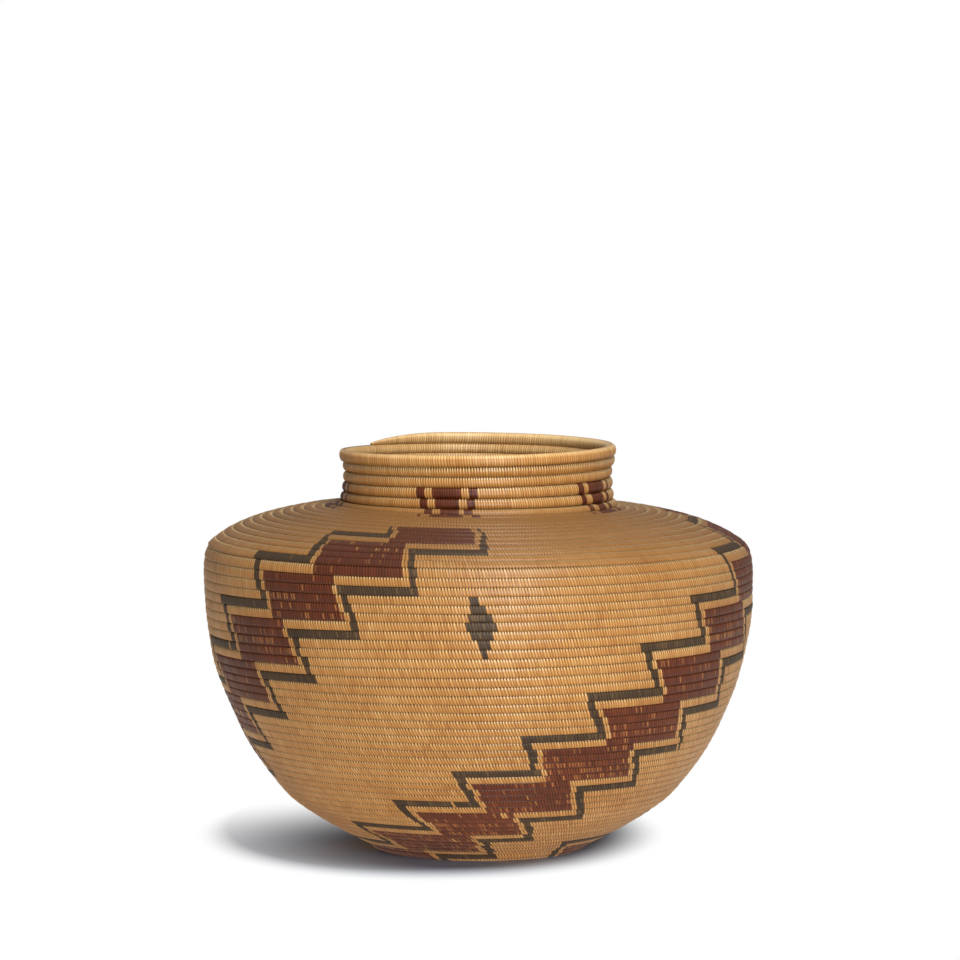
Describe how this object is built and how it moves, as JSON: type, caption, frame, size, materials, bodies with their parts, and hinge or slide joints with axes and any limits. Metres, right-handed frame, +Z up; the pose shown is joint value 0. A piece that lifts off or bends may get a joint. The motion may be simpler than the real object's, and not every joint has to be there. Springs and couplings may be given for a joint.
{
  "type": "bottleneck basket",
  "caption": "Coiled basket with a rounded bowl body, a wide flat shoulder and a short upright neck; its sewn bundle spirals from the base to the rim in one run.",
  "frame": {"origin": "middle of the flat underside, on the surface that the basket stands on", "axes": "+Z up through the mouth; -Y towards the front that shows the two stepped bands with the diamond between them"},
  "size_m": [0.2796, 0.2795, 0.2079],
  "materials": {
    "sedge_root_wall": "split root stitches, honey tan, satin",
    "sedge_root_shoulder": "split root stitches, aged brown, satin",
    "sedge_root_base": "split root stitches, tan, worn"
  },
  "bodies": {
    "root": {"base_start": "sedge_root_base", "base_inner_rounds": "sedge_root_base", "base_outer_rounds": "sedge_root_base", "heel_rounds": "sedge_root_wall", "wall_course_1": "sedge_root_wall", "wall_course_2": "sedge_root_wall", "wall_course_3": "sedge_root_wall", "wall_course_4": "sedge_root_wall", "wall_course_5": "sedge_root_wall", "wall_course_6": "sedge_root_wall", "wall_course_7": "sedge_root_wall", "wall_course_8": "sedge_root_wall", "wall_course_9": "sedge_root_wall", "shoulder_outer_rounds": "sedge_root_shoulder", "shoulder_inner_rounds": "sedge_root_shoulder", "neck_foot_round": "sedge_root_shoulder", "neck_rounds": "sedge_root_wall", "rim_round": "sedge_root_wall"}
  },
  "joints": []
}
